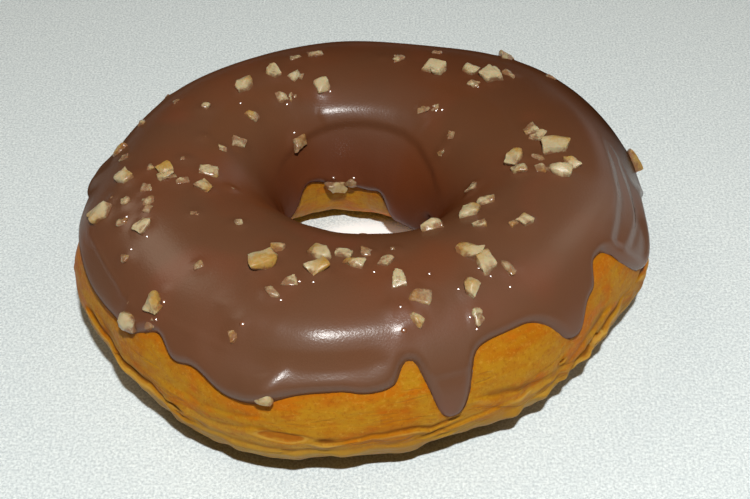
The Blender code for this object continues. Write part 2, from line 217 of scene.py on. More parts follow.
# Chopped nuts: around, across, length in mm, heading seen from above, and tone:
# p pale, g golden, c coated with icing.
NUTS = [
    (1, 87, 4.6, 0, "p"), (12.2, 96, 2.8, 30, "p"), (7, 94.5, 3.2, 60, "p"),
    (357, 109, 3.8, 70, "g"), (350.3, 106.3, 3.0, 0, "p"), (356.3, 97, 2.6, 0, "p"),
    (350.5, 95.5, 2.5, 90, "g"), (355, 82, 3.2, 120, "g"), (350.3, 85.5, 3.8, 165, "p"),
    (15, 21, 4.0, 100, "g"), (43, 89.5, 4.2, 130, "p"), (50.5, 90, 3.4, 150, "p"),
    (45.5, 98, 2.6, 150, "p"), (41.5, 80, 2.8, 150, "c"), (50.5, 58, 3.6, 90, "p"),
    (62.5, 95.5, 4.0, 155, "p"), (78, 90, 2.6, 150, "p"), (51, 119, 2.4, 0, "c"),
    (108.5, 85.5, 3.0, 0, "p"), (115.5, 85, 2.6, 30, "p"), (111.5, 114.5, 3.6, 20, "p"),
    (119.5, 103, 3.8, 45, "p"), (126, 95.5, 3.2, 130, "p"), (131, 115, 2.9, 20, "p"),
    (139.5, 97, 4.0, 30, "p"), (135, 144.5, 3.6, 50, "c"), (147.5, 117, 2.8, 170, "g"),
    (165.5, 122.5, 3.2, 0, "p"), (115.5, 176, 3.6, 90, "p"), (103, 173.5, 2.6, 150, "c"),
    (173, 50, 3.4, 160, "g"), (178, 60, 2.4, 170, "p"), (188, 67.5, 4.6, 130, "g"),
    (190.5, 88.5, 4.2, 110, "g"), (195, 94, 2.6, 20, "p"), (190.5, 109, 3.6, 0, "p"),
    (195, 78, 2.4, 95, "p"), (199.5, 104, 3.2, 150, "g"), (199.5, 77, 2.8, 100, "p"),
    (196, 52, 4.2, 15, "g"), (207, 67, 3.4, 45, "p"), (240.3, 87, 4.4, 20, "g"),
    (240.5, 97.3, 3.0, 0, "g"), (255, 101, 3.8, 160, "p"), (256, 90.5, 4.0, 40, "g"),
    (250.5, 81.3, 2.7, 0, "p"), (262.7, 101, 3.2, 160, "p"), (266.5, 93.5, 3.0, 160, "g"),
    (271, 101, 2.6, 90, "c"), (280.8, 101.5, 2.4, 95, "g"), (277, 93.5, 3.0, 60, "p"),
    (279.3, 82.3, 3.8, 100, "p"), (284, 70.5, 3.4, 170, "c"), (281.5, 60, 2.7, 150, "p"),
    (296.5, 68.5, 4.0, 70, "p"), (295.5, 54.5, 2.8, 120, "p"), (304, 77.5, 4.2, 120, "p"),
    (303.6, 87.2, 4.0, 165, "g"), (308.5, 69, 2.8, 130, "c"), (302, 120, 3.8, 5, "p"),
    (319.5, 114, 3.4, 170, "p"), (329.5, 112, 3.3, 0, "p"), (324.5, 85, 3.4, 130, "p"),
    (347.5, 130.5, 2.8, 50, "p"), (220.5, 30, 3.8, 140, "p"), (224.5, 45, 3.6, 60, "g"),
    (226, 36.5, 2.6, 70, "p"), (252.5, 27.5, 3.0, 0, "g"), (243.5, 51, 2.6, 90, "g"),
    (247.5, 73.5, 2.8, 120, "c"),
]
# Nuts spread where the photo doesn't show them: from and to around, from and to across, count.
SPREAD_NUTS = [(45, 140, 27, 33, 5), (195, 345, 146, 160, 5)]
SPREAD_PLACES = (0.2, 0.8)
SPREAD_LENGTHS = (2.2, 3.0)
CORNER_SHARES = (0.45, 1.05)
NUT_SINK = 1.0 * MM
NUT_FLATNESS = 0.8  # share of their height above the icing
NUT_SEED = 4
NUT_FORM_SEED = 100
# Some nuts are two lumps: how many, the turn between them, how far they part, and their sizes.
SPLIT_SHARE = 0.4
SPLIT_TURNS = (0.6, 2.5)
SPLIT_SHIFT = 0.35
SPLIT_SIZES = (0.98, 0.62)
CUTS = 3
CUT_PLACES = (0.58, 0.9)  # between the middle and the far side
CUT_LEAN = 0.2  # chips break off a little more on top
CHIP_SIZE = 1.02  # makes up for what the cuts take off
FLAT_ANGLE = math.radians(9)
SHARP_ANGLE = math.radians(40)
# As shares of a chip's length.
BEVEL = 0.05
LONG_EDGE = 0.16
SAME_PLACE = 0.004
CHIP_RELIEF = [(2.4, 5, 0.05), (6.0, 7, 0.03), (13.0, 9, 0.013)]  # wave number, waves, height
# How golden each tone is, how much that changes from nut to nut, and over one nut.
TONES = {"p": 0.08, "g": 0.45, "c": 0.2}
TONE_CHANGES = (-0.1, 0.15)
TONE_SLOPE = 1.1
BLOCK_HALVES = np.array([0.52, 0.4, 0.34])
BLOCK_CORNERS = np.array([
    (-1, -1, -1), (1, -1, -1), (-1, 1, -1), (1, 1, -1), (-1, -1, 1),
    (1, -1, 1), (-1, 1, 1), (1, 1, 1), (0.2, 0, 1.3), (1.3, 0.2, 0),
])

# Smaller crumbs of nut, in the same form.
CRUMBS = [
    (150, 52, 1.5, 0, "p"), (156, 72, 1.7, 30, "c"), (157, 93, 2.0, 60, "p"),
    (163, 55, 2.0, 90, "p"), (174, 115, 2.1, 0, "p"), (187, 80, 2.0, 110, "p"),
    (196.5, 67, 1.9, 20, "p"), (203, 74, 2.0, 70, "c"), (202, 61, 1.8, 0, "c"),
    (211, 51, 2.1, 60, "c"), (211, 90, 1.7, 0, "p"), (227, 71, 1.8, 30, "c"),
    (222.5, 101, 2.1, 100, "p"), (314, 100, 2.1, 20, "p"), (321, 88, 1.8, 40, "c"),
    (66, 78, 2.0, 0, "p"), (37, 58, 1.9, 0, "c"), (57, 122.5, 2.1, 0, "c"),
    (32, 129, 2.0, 60, "c"), (30, 138, 1.8, 20, "c"), (126.5, 117.5, 2.15, 100, "g"),
    (84, 90, 1.2, 0, "p"), (279, 66, 1.7, 0, "c"), (276, 67, 1.4, 40, "c"),
    (218.5, 38, 1.3, 0, "c"), (198.5, 118, 1.2, 0, "c"), (342, 131, 1.4, 0, "c"),
    (171, 103, 1.3, 0, "c"), (193, 60, 1.2, 0, "c"), (184, 97, 1.4, 0, "c"),
    (225, 52, 1.1, 0, "c"), (243, 55, 1.1, 0, "c"), (287, 78, 1.1, 0, "c"),
]
# Beads of icing beside nuts, which catch the flash: around, across, width in mm.
BEADS = [
    (245, 56.5, 1.1), (278.5, 55.8, 1.1), (226, 49, 1.0), (210.5, 66, 0.6), (201.5, 64, 0.6),
    (210.5, 56, 0.6), (226.8, 41.5, 0.8), (242.2, 84.8, 0.7), (251, 81.2, 0.7), (253, 81.5, 0.8),
    (256.2, 82.2, 0.6), (250.5, 70.2, 0.6), (278.2, 66.2, 0.8), (283.2, 68, 0.9), (294, 49.5, 0.7),
    (293.5, 54.8, 0.7), (301, 76.2, 0.6), (302.5, 69.8, 0.6), (293.3, 69.2, 0.6), (305.8, 61, 0.7),
    (114.2, 115.8, 0.7), (108.5, 118, 0.8), (130.8, 120.8, 0.7), (147, 106, 0.6), (135, 138, 0.6),
    (273, 88, 0.6), (288, 82, 0.6), (43, 98.5, 0.8), (359, 92.5, 0.7), (349.5, 81.5, 0.7),
    (117.5, 171, 0.9), (101.5, 169, 0.9), (49.5, 121.5, 0.8), (47.2, 119.3, 0.7),
]
BEAD_RISE = 0.08  # of the smallest beads, as a share of their half width
BEAD_SWELL = 0.2  # how much fuller they are for each millimetre of width
SMALLEST_BEAD = 0.6
BEAD_LIFT = 0.3 * MM  # where a bead looks for the icing, above its plain surface
BEAD_RINGS = 8
BEAD_SIDES = 20
BEAD_DIP_START = 0.75  # share of its half width from where its rim dips into the icing
BEAD_DIP = 1.6
CRUMB_SEED = 11
CRUMB_FORM_SEED = 900
CRUMB_SINK = 0.55 * MM

# The meshes: columns round the ring and rows over its section. The dough's rows come in runs,
# each up to an angle across. The icing's are closer together near its edges.
DOUGH_COLUMNS = 690
DOUGH_RUNS = [(-44, 6), (38, 98), (164, 12), (212, 20)]
DOUGH_LAST_ROWS = 5
ICING_COLUMNS = 620
EDGE_ROWS = np.array([0, 0.03, 0.1, 0.2, 0.34, 0.52, 0.74, 1.0, 1.3, 1.7, 2.2, 2.8, 3.5, 4.3]) * MM
MIDDLE_ROWS = 104
UNDER_ROWS = 11
FINE_ROWS = 241  # steps over the section that its rows are picked from
EDGE_STEPS = 2880  # steps round its outer edge that its columns are picked from
EDGE_POINTS = 2400  # points on each edge that distances are taken to

FLASH_PLACE = (0.022, -0.212, 0.364)
FLASH_SIZE = (0.018, 0.01)
FLASH_POWER = 1.73
FLASH_TINT = (0.99, 1.0, 0.98)
# Light from all around: where from, the cosines between which it starts and is full, its
# strength and its tint.
WARM = (1.0, 0.84, 0.66)
GLOWS = [
    ((0, 0, 1), -1.2, -1.1, 0.01, WARM),
    ((0, -0.85, 0.45), 0.1, 0.9, 0.08, (1.0, 0.76, 0.42)),
    ((-0.60, 0.34, 0.72), 0.962, 0.99, 2.4, WARM),
    ((0.74, 0.24, 0.62), 0.965, 0.99, 1.4, WARM),
    ((0.70, 0.68, 0.18), 0.86, 0.98, 0.75, (1.0, 0.95, 0.92)),
]
FLOOR_REACH = 3.0

VIEW_ELEVATION = math.radians(42.2)
VIEW_DISTANCE = 0.235
VIEW_AIM = (1.56 * MM, -1.52 * MM, 8.36 * MM)  # from the ring's middle
LENS = 64.0
SENSOR_WIDTH = 36.0


def swells(terms, around):
    """Sum of the waves in terms, at the given angles in radians."""
    return sum(height * np.cos(count * (around - math.radians(crest)))
               for count, height, crest in terms)


def signed_power(value, fullness):
    return np.sign(value) * np.abs(value) ** (2 / fullness)


def turn_between(around, centre):
    """Signed angle in degrees from centre to around, between -180 and 180."""
    return (np.degrees(around) - centre + 180) % 360 - 180


def pulse(around, centre, half_width, steepness):
    """1 at an angle round the ring, falling to 0 beyond a half width from it."""
    return np.exp(-np.abs(turn_between(around, centre) / half_width) ** steepness)


def off_centre(around, across, centre, level, half_round, half_across):
    """Distance from a place on the ring, in half sizes."""
    return np.hypot(turn_between(around, centre) / half_round,
                    (np.degrees(across) - level) / half_across)


def section(around, across):
    """Radius and height of the plain ring's surface."""
    outer = OUTER_RADIUS + swells(OUTER_SWELLS, around)
    for centre, half_width, height in OUTER_BUMPS:
        outer = outer + height * pulse(around, centre, half_width, 2)
    hole = HOLE_RADIUS + swells(HOLE_SWELLS, around)
    belt = BELT_HEIGHT + swells(BELT_SWELLS, around)
    above = np.sin(across) > 0
    fullness = np.where(above, FULLNESS_ABOVE, FULLNESS_BELOW)
    reach = np.where(above, DOUGH_HEIGHT - belt, belt + FLAT_DEPTH)
    radius = (outer + hole) / 2 + (outer - hole) / 2 * signed_power(np.cos(across), fullness)
    height = belt + reach * signed_power(np.sin(across), fullness)
    return radius, np.maximum(height, 0.0)


def ring_points(around, across, lift):
    """Points at a height above the ring's surface, along its normal."""
    radius, height = section(around, across)
    radius_before, height_before = section(around, across - SLOPE_STEP)
    radius_after, height_after = section(around, across + SLOPE_STEP)
    run = radius_after - radius_before
    rise = height_after - height_before
    length = np.hypot(run, rise)
    radius = radius + lift * rise / length
    height = np.maximum(height - lift * run / length, 0.0)
    x = CENTRE[0] + radius * np.cos(around)
    y = CENTRE[1] + radius * np.sin(around)
    return np.stack([x, y, height], axis=-1)


def edge_level(around, level, tongues, direction):
    """Angle across of an icing edge: its level, with the tongues past it."""
    degrees = np.full(np.shape(around), level)
    for centre, half_width, reach, steepness in tongues:
        degrees = degrees + direction * reach * pulse(around, centre, half_width, steepness)
    return np.radians(degrees)


def outer_edge(around):
    return edge_level(around, EDGE_LEVEL, TONGUES, -1)


def hole_edge(around):
    return edge_level(around, HOLE_EDGE_LEVEL, HOLE_TONGUES, 1)


def smooth_step(low, high, value):
    share = np.clip((value - low) / (high - low), 0, 1)
    return share * share * (3 - 2 * share)


def band(value, start, full, last, end):
    """1 from full to last, falling smoothly to 0 at start and at end."""
    return smooth_step(start, full, value) * smooth_step(end, last, value)


def ring_noise(around, across, count_around, count_across, seed):
    """Smooth noise from -1 to 1, with so many cells round the ring and over its section."""
    lattice = np.random.default_rng(seed).uniform(-1, 1, (count_around, count_across))
    place_u = (np.asarray(around / math.tau) % 1.0) * count_around
    place_v = (np.asarray(across / math.tau) % 1.0) * count_across
    low_u, low_v = np.floor(place_u).astype(int), np.floor(place_v).astype(int)
    share_u, share_v = smooth_step(0, 1, place_u - low_u), smooth_step(0, 1, place_v - low_v)
    low_u, low_v = low_u % count_around, low_v % count_across
    high_u, high_v = (low_u + 1) % count_around, (low_v + 1) % count_across
    first = lattice[low_u, low_v] * (1 - share_v) + lattice[low_u, high_v] * share_v
    second = lattice[high_u, low_v] * (1 - share_v) + lattice[high_u, high_v] * share_v
    return first * (1 - share_u) + second * share_u


def noise_layers(around, across, layers):
    """Sum of noise layers: height, cells round the ring and over its section, and seed."""
    return sum(height * ring_noise(around, across, *cells) for height, *cells in layers)


def new_object(name, data):
    made = bpy.data.objects.new(name, data)
    bpy.context.scene.collection.objects.link(made)
    return made


def mesh_object(name, vertices, faces):
    """A smoothly shaded object."""
    mesh = bpy.data.meshes.new(name)
    mesh.from_pydata(vertices, [], faces)
    mesh.shade_smooth()
    return new_object(name, mesh)


def grid_object(name, rings):
    """Closed object from rows of points. Columns run round the ring, rows over its section."""
    rows, columns = rings.shape[:2]
    row, column = np.arange(rows)[:, None], np.arange(columns)[None, :]
    next_row, next_column = (row + 1) % rows, (column + 1) % columns
    faces = np.stack([row * columns + column, row * columns + next_column,
                      next_row * columns + next_column, next_row * columns + column], axis=-1)
    made = mesh_object(name, rings.reshape(-1, 3).tolist(), faces.reshape(-1, 4).tolist())
    shape = bmesh.new()
    shape.from_mesh(made.data)
    bmesh.ops.recalc_face_normals(shape, faces=shape.faces)
    shape.to_mesh(made.data)
    shape.free()
    return made


def set_values(obj, **fields):
    """Store one number a vertex under each name, for a material to read."""
    for name, values in fields.items():
        layer = obj.data.attributes.new(name, "FLOAT", "POINT")
        layer.data.foreach_set("value", np.ascontiguousarray(values, dtype=np.float32).ravel())


def tree_of(points):
    """A search tree that finds the nearest of the points."""
    tree = KDTree(len(points))
    for index, point in enumerate(points):
        tree.insert(point, index)
    tree.balance()
    return tree


def beside(around, across, path):
    """Degrees across from a path over the ring, growing fast beyond its ends."""
    first, last = path[0][0], path[-1][0]
    middle, half = (first + last) / 2, (last - first) / 2
    turn = turn_between(around, middle)
    level = np.interp(turn, [place - middle for place, _ in path], [level for _, level in path])
    beyond = np.maximum(np.abs(turn) - half + PATH_END, 0)
    away = np.degrees(across) - level
    return away + np.where(away < 0, -1, 1) * beyond ** 2 / PATH_SOFTNESS


def folds(around, across):
    """Depth of the folds and the small lips below them, in metres, negative inwards."""
    relief = 0.0
    for index, (depth, width, path) in enumerate(FOLDS):
        wander = FOLD_WANDER * ring_noise(around, 0, WANDER_CELLS, 1, index)
        uneven = ring_noise(around, 0, UNEVEN_CELLS, 1, FOLD_SEED + index)
        away = (beside(around, across, path) + wander) / width
        soft, steep = away / GROOVE_SIDES[0], away * GROOVE_SIDES[1]
        groove = -np.exp(-np.abs(np.where(away > 0, soft, steep)) ** GROOVE_STEEPNESS)
        lip = LIP_SHARE * np.exp(-((away + LIP_AWAY) / LIP_WIDTH) ** 2)
        relief = relief + depth * (0.8 + 0.4 * uneven) * (groove + lip)
    return relief


def scars(around, across):
    """1 in the middle of a scar or pit, 0 away from them all."""
    ragged = noise_layers(around, across, SCAR_NOISE)
    return np.max([smooth_step(*SCAR_EDGE, off_centre(around, across, *place) + ragged)
                   for *place, _ in SCARS], axis=0)


def scar_depth(around, across):
    """Height of the sunken scars and their low rims, in metres."""
    relief = 0.0
    for *place, depth in SCARS:
        off = off_centre(around, across, *place)
        rim = RIM_SHARE * np.exp(-((off - RIM_AWAY) / RIM_WIDTH) ** 2)
        relief = relief + depth * (rim - smooth_step(*SCAR_SLOPE, off))
    return relief


def dough_relief(around, across):
    """Lumps, wrinkles and folds of the crust, as a height above the plain ring."""
    degrees = np.degrees(across)
    bare = 1 - band(degrees, *UNDER_ICING)
    lumps = noise_layers(around, across, LUMPS)
    lumps = lumps + band(degrees, *LOW_SIDE) * noise_layers(around, across, LOW_LUMPS)
    lumps = lumps + band(degrees, *ROUGH_SIDE) * noise_layers(around, across, ROUGH_LUMPS)
    marks = noise_layers(around, across, WRINKLES)
    marks = marks + folds(around, across) + scar_depth(around, across)
    for centre, level, half_round, half_across, height in KNOBS:
        fall = np.exp(-np.abs((degrees - level) / half_across) ** 3)
        marks = marks + height * pulse(around, centre, half_round, 2) * fall
    lumps = lumps * (COVERED_SHARE + (1 - COVERED_SHARE) * bare)
    return band(degrees, *ABOVE_UNDERSIDE) * (lumps + bare * marks)


def make_dough():
    """The whole ring of dough, closed, with a flat ring underneath."""
    sine = (BELT_HEIGHT / (BELT_HEIGHT + FLAT_DEPTH)) ** (FULLNESS_BELOW / 2)
    flat = math.degrees(math.asin(sine))
    start, levels = -flat, []
    for end, rows in DOUGH_RUNS:
        levels.extend(np.linspace(start, end, rows, endpoint=False))
        start = end
    levels.extend(np.linspace(start, 180 + flat, DOUGH_LAST_ROWS))
    around = np.linspace(0, math.tau, DOUGH_COLUMNS, endpoint=False)[None, :]
    around, across = np.broadcast_arrays(around, np.radians(levels)[:, None])
    points = ring_points(around, across, dough_relief(around, across))
    points[[0, -1], :, 2] = 0.0
    dough = grid_object("dough_crust", points)

    degrees = np.degrees(across)
    below = np.where(degrees < TOP_OF_SIDE, np.degrees(outer_edge(around) - across),
                     np.degrees(across - hole_edge(around)))
    set_values(dough, below_icing=below, across=degrees, fold=folds(around, across) / MM,
               scar=scars(around, across), patches=noise_layers(around, across, PATCHES))
    return dough


def icing_columns():
    """Angles round the ring, closer together where the icing's outer edge runs steeply."""
    fine = np.linspace(0, math.tau, EDGE_STEPS + 1)
    edge = ring_points(fine, outer_edge(fine), 0.0)
    travelled = np.concatenate([[0], np.cumsum(np.linalg.norm(np.diff(edge, axis=0), axis=1))])
    wanted = np.linspace(0, travelled[-1], ICING_COLUMNS, endpoint=False)
    return np.interp(wanted, travelled, fine)


def edge_distance(points):
    """Distance from each point on the bare ring to the nearest icing edge."""
    fine = np.linspace(0, math.tau, EDGE_POINTS, endpoint=False)
    tree = tree_of(np.concatenate([ring_points(fine, edge(fine), 0.0)
                                   for edge in (outer_edge, hole_edge)]))
    flat = points.reshape(-1, 3)
    return np.array([tree.find(place)[2] for place in flat]).reshape(points.shape[:2])


def evened(field, times):
    """The field with each value averaged with its neighbours, so many times over."""
    for _ in range(times):
        field = (np.roll(field, 1, axis=1) + 2 * field + np.roll(field, -1, axis=1)) / 4
        padded = np.concatenate([field[:1], field, field[-1:]])
        field = (padded[:-2] + 2 * field + padded[2:]) / 4
    return field


def icing_height(around, across, distance):
    """Height of the icing's surface above the dough."""
    inside = smooth_step(0, RELIEF_START, distance)
    relief = inside * noise_layers(around, across, ICING_WAVES)
    for centre, half_width, thickness, place, width in LOBES:
        swell = np.exp(-((distance - place) / width) ** 2)
        relief = relief + thickness * pulse(around, centre, half_width, 4) * swell
    relief = evened(relief, 3)
    for rise, width, path in ICING_RIDGES:
        relief = relief + inside * rise * np.exp(-(beside(around, across, path) / width) ** 2)
    depth, stretch, path = HOLE_STEP
    dropped = band(beside(around, across, path), *HOLE_STEP_SLOPES)
    relief = relief - depth * inside * pulse(around, *stretch) * dropped
    depth, stretch, path = SIDE_STEP
    dropped = smooth_step(*SIDE_STEP_SLOPE, -beside(around, across, path))
    relief = relief - depth * inside * pulse(around, *stretch) * dropped
    swellings = [(centre, level, size / BUMP_STEPS[0], size / BUMP_STEPS[1], rise)
                 for centre, level, size, rise in BUMPS]
    for *place, rise in swellings + [LIP_SWELL]:
        relief = relief + rise * np.exp(-off_centre(around, across, *place) ** 2)
    centre, half_width, level, drop, softness = DRIP_FOLD
    below = smooth_step(level + softness, level - softness, np.degrees(across))
    relief = relief - drop * pulse(around, centre, half_width, 6) * below
    rounding = 1 - (1 - np.clip(distance / BEAD_WIDTH, 0, 1)) ** 2
    return (ICING_TOP + EDGE_SINK + relief) * (rounding + np.sqrt(rounding)) / 2 - EDGE_SINK


def place_share(around, across, places):
    """1 in the places, falling smoothly to 0 round them."""
    degrees, share = np.degrees(across), np.zeros(across.shape)
    for centre, half_width, low, high, slope in places:
        place = band(degrees, low - slope, low + slope, high - slope, high + slope)
        share = np.maximum(share, place * pulse(around, centre, half_width, 4))
    return share


def make_icing(nuts):
    """The icing as a closed shell, thicker where it meets a nut."""
    around = icing_columns()
    start, end = outer_edge(around), hole_edge(around)
    fine = start + (end - start) * np.linspace(0, 1, FINE_ROWS)[:, None]
    bare = ring_points(np.broadcast_to(around, fine.shape), fine, 0.0)
    steps = np.linalg.norm(np.diff(bare, axis=0), axis=2)
    travelled = np.concatenate([np.zeros((1, len(around))), np.cumsum(steps, axis=0)])

    columns = []
    for column, total in enumerate(travelled[-1]):
        between = np.linspace(EDGE_ROWS[-1], total - EDGE_ROWS[-1], MIDDLE_ROWS + 2)[1:-1]
        wanted = np.concatenate([EDGE_ROWS, between, total - EDGE_ROWS[::-1]])
        columns.append(np.interp(wanted, travelled[:, column], fine[:, column]))
    across = np.stack(columns, axis=1)
    wide = np.broadcast_to(around, across.shape)
    distance = edge_distance(ring_points(wide, across, 0.0))
    height = icing_height(wide, across, distance)

    surface = ring_points(wide, across, ICING_TOP)
    collar = np.zeros(across.shape)
    for place, size, tone in nuts:
        away = np.linalg.norm(surface - np.array(place), axis=-1)
        beyond = np.maximum(away - COLLAR_START * size, 0)
        collar = np.maximum(collar, COLLAR_RISES[tone] * np.exp(-(beyond / COLLAR_WIDTH) ** 2))
    collar = evened(collar, 2) * smooth_step(0, COLLAR_CLEAR, distance)
    outside = ring_points(wide, across, height + collar)

    under = start + (end - start) * np.linspace(0, 1, UNDER_ROWS + 2)[1:-1, None]
    inside = ring_points(np.broadcast_to(around, under.shape), under, ICING_UNDERSIDE)
    icing = grid_object("icing_coat", np.concatenate([outside, inside[::-1]]))

    glossy, dull = (np.concatenate([place_share(wide, across, places), np.zeros(under.shape)])
                    for places in (GLOSSY_PLACES, DULL_PLACES))
    degrees = np.degrees(np.concatenate([across, under[::-1]]))
    set_values(icing, across=degrees, glossy=glossy, dull=dull)
    return icing


def nut_places(draw):
    """All nuts, the largest first, in the order that their corners are drawn in."""
    places = list(NUTS)
    for first_around, last_around, first_across, last_across, count in SPREAD_NUTS:
        pitch = (last_around - first_around) / count
        for index in range(count):
            places.append((
                first_around + pitch * (index + draw.uniform(*SPREAD_PLACES)),
                draw.uniform(first_across, last_across),
                draw.uniform(*SPREAD_LENGTHS),
                draw.uniform(0, 180),
                "p",
            ))
    return sorted(places, key=lambda place: -place[2])


def nut_shape(around, across, length, heading, sink, draw):
    """Corners of one nut in place, its footprint on the icing, and the way up there."""
    around, across, heading = map(math.radians, (around, across, heading))
    spot = ring_points(around, across, ICING_TOP)
    up = Vector(spot - ring_points(around, across, 0.0)).normalized()
    along = Vector((math.cos(heading), math.sin(heading), 0))
    along = (along - along.dot(up) * up).normalized()
    half = BLOCK_HALVES * length * MM
    corners = BLOCK_CORNERS * draw.uniform(*CORNER_SHARES, BLOCK_CORNERS.shape) * half
    spot = Vector(spot)
    centre = spot - up * (corners[:, 2].min() + sink)
    frame = Matrix((along, up.cross(along), up)).transposed()
    placed = [centre + frame @ Vector(corner) for corner in corners]
    placed = [corner - (1 - NUT_FLATNESS) * max(0.0, (corner - spot).dot(up)) * up
              for corner in placed]
    return placed, spot, up


def broken(corners, up, draw):
    """Corner sets of the one or two overlapping lumps that a chopped nut is made of."""
    middle = sum(corners, Vector()) / len(corners)
    spin = Matrix.Rotation(draw.uniform(*SPLIT_TURNS), 3, up)
    far = corners[int(draw.integers(len(corners)))] - middle
    shift = SPLIT_SHIFT * (far - far.dot(up) * up)
    first = [middle + SPLIT_SIZES[0] * (corner - middle) - shift / 4 for corner in corners]
    second = [middle + SPLIT_SIZES[1] * (spin @ (corner - middle)) + shift for corner in corners]
    return (first, second) if draw.uniform() < SPLIT_SHARE else (first,)


def chip_mesh(corners, length, up, draw):
    """A chopped piece: the hull of its corners, broken off unevenly, with a rough surface."""
    shape = bmesh.new()
    for corner in corners:
        shape.verts.new(corner)
    hull = bmesh.ops.convex_hull(shape, input=shape.verts)
    loose = [item for item in hull["geom_interior"] if isinstance(item, bmesh.types.BMVert)]
    bmesh.ops.delete(shape, geom=loose, context="VERTS")
    middle = sum(corners, Vector()) / len(corners)
    for vertex in shape.verts:
        vertex.co = middle + CHIP_SIZE * (vertex.co - middle)
    for _ in range(CUTS):
        way = (Vector(draw.normal(size=3)) + CUT_LEAN * up).normalized()
        reach = max((corner - middle).dot(way) for corner in corners)
        place = middle + way * reach * draw.uniform(*CUT_PLACES)
        cut = bmesh.ops.bisect_plane(shape, geom=shape.verts[:] + shape.edges[:] + shape.faces[:],
                                     plane_co=place, plane_no=way, clear_outer=True)
        rim = [item for item in cut["geom_cut"] if isinstance(item, bmesh.types.BMEdge)]
        bmesh.ops.holes_fill(shape, edges=rim)
    bmesh.ops.dissolve_limit(shape, angle_limit=FLAT_ANGLE, verts=shape.verts, edges=shape.edges)
    bmesh.ops.bevel(shape, geom=list(shape.edges), offset=BEVEL * length, segments=1, profile=0.5,
                    affect="EDGES", clamp_overlap=True)
    bmesh.ops.triangulate(shape, faces=shape.faces)
    for _ in range(2):
        long_edges = [edge for edge in shape.edges if edge.calc_length() > LONG_EDGE * length]
        bmesh.ops.subdivide_edges(shape, edges=long_edges, cuts=1)
        bmesh.ops.triangulate(shape, faces=shape.faces)
    bmesh.ops.remove_doubles(shape, verts=shape.verts, dist=SAME_PLACE * length)
    bmesh.ops.recalc_face_normals(shape, faces=shape.faces)
    shape.normal_update()
    places = np.array([vertex.co for vertex in shape.verts])
    relief = np.zeros(len(places))
    for waves, count, height in CHIP_RELIEF:
        ways = draw.normal(size=(count, 3)) * waves / length
        phases = draw.uniform(0, math.tau, count)
        relief = relief + height * np.cos(places @ ways.T + phases).sum(axis=1) / math.sqrt(count)
    for vertex, rise in zip(shape.verts, relief):
        vertex.co += vertex.normal * length * float(rise)
    return shape


def make_chips(name, places, sink, draw, form_seed):
    """One mesh of all nuts in places. Also says where each stands, how large, and its tone."""
    vertices, faces, coated, golden, height, footprints = [], [], [], [], [], []
    own = np.random.default_rng(form_seed)
    for around, across, length, heading, tone in places:
        corners, spot, up = nut_shape(around, across, length, heading, sink, draw)
        value = TONES[tone] + own.uniform(*TONE_CHANGES)
        side = Vector(own.normal(size=3)).normalized()
        for piece in broken(corners, up, own):
            shape = chip_mesh(piece, length * MM, up, own)
            base = len(vertices)
            shape.verts.index_update()
            for vertex in shape.verts:
                away = vertex.co - spot
                vertices.append(tuple(vertex.co))
                coated.append(float(tone == "c"))
                golden.append(value + TONE_SLOPE * away.dot(side) / (length * MM))
                height.append(away.dot(up) / MM)
            faces.extend(tuple(base + vertex.index for vertex in face.verts) for face in shape.faces)
            shape.free()
        footprints.append((tuple(spot), length * MM, tone))
    chips = mesh_object(name, vertices, faces)
    chips.data.set_sharp_from_angle(angle=SHARP_ANGLE)
    set_values(chips, coated=coated, golden=golden, height=height)
    return chips, footprints


def view():
    """The point that the camera looks at, and the way from there to the camera."""
    aim = Vector((CENTRE[0] + VIEW_AIM[0], CENTRE[1] + VIEW_AIM[1], VIEW_AIM[2]))
    return aim, Vector((0, -math.cos(VIEW_ELEVATION), math.sin(VIEW_ELEVATION)))


def make_beads(icing):
    """Small smooth drops of icing, low caps that face halfway between the flash and the viewer."""
    vertices, faces = [], []
    tree = tree_of([vertex.co for vertex in icing.data.vertices])
    aim, back = view()
    eye = aim + VIEW_DISTANCE * back
    for around, across, width in BEADS:
        spot = Vector(ring_points(np.radians(around), np.radians(across), ICING_TOP + BEAD_LIFT))
        spot = tree.find(spot)[0]
        up = ((eye - spot).normalized() + (Vector(FLASH_PLACE) - spot).normalized()).normalized()
        side = up.orthogonal().normalized()
        other = up.cross(side)
        radius = width * MM / 2
        top = (BEAD_RISE + BEAD_SWELL * (width - SMALLEST_BEAD)) * radius
        base = len(vertices)
        vertices.append(tuple(spot + up * top))
        for ring in range(1, BEAD_RINGS + 1):
            share = ring / BEAD_RINGS
            rise = top * (1 - share ** 2) - BEAD_DIP * radius * max(0.0, share - BEAD_DIP_START)
            for turn in range(BEAD_SIDES):
                angle = math.tau * turn / BEAD_SIDES
                out = radius * share * (side * math.cos(angle) + other * math.sin(angle))
                vertices.append(tuple(spot + out + up * rise))
        for turn in range(BEAD_SIDES):
            after = (turn + 1) % BEAD_SIDES
            faces.append((base, base + 1 + turn, base + 1 + after))
            for ring in range(BEAD_RINGS - 1):
                inner = base + 1 + ring * BEAD_SIDES
                outer = inner + BEAD_SIDES
                faces.append((inner + turn, outer + turn, outer + after, inner + after))
        last = base + 1 + (BEAD_RINGS - 1) * BEAD_SIDES
        faces.append(tuple(last + turn for turn in reversed(range(BEAD_SIDES))))
    return mesh_object("icing_beads", vertices, faces)


def srgb(red, green, blue):
    """Linear colour from 0 to 255 values as a picture shows them."""
    def linear(value):
        value = value / 255
        return value / 12.92 if value <= 0.04045 else ((value + 0.055) / 1.055) ** 2.4
    return (linear(red), linear(green), linear(blue), 1.0)


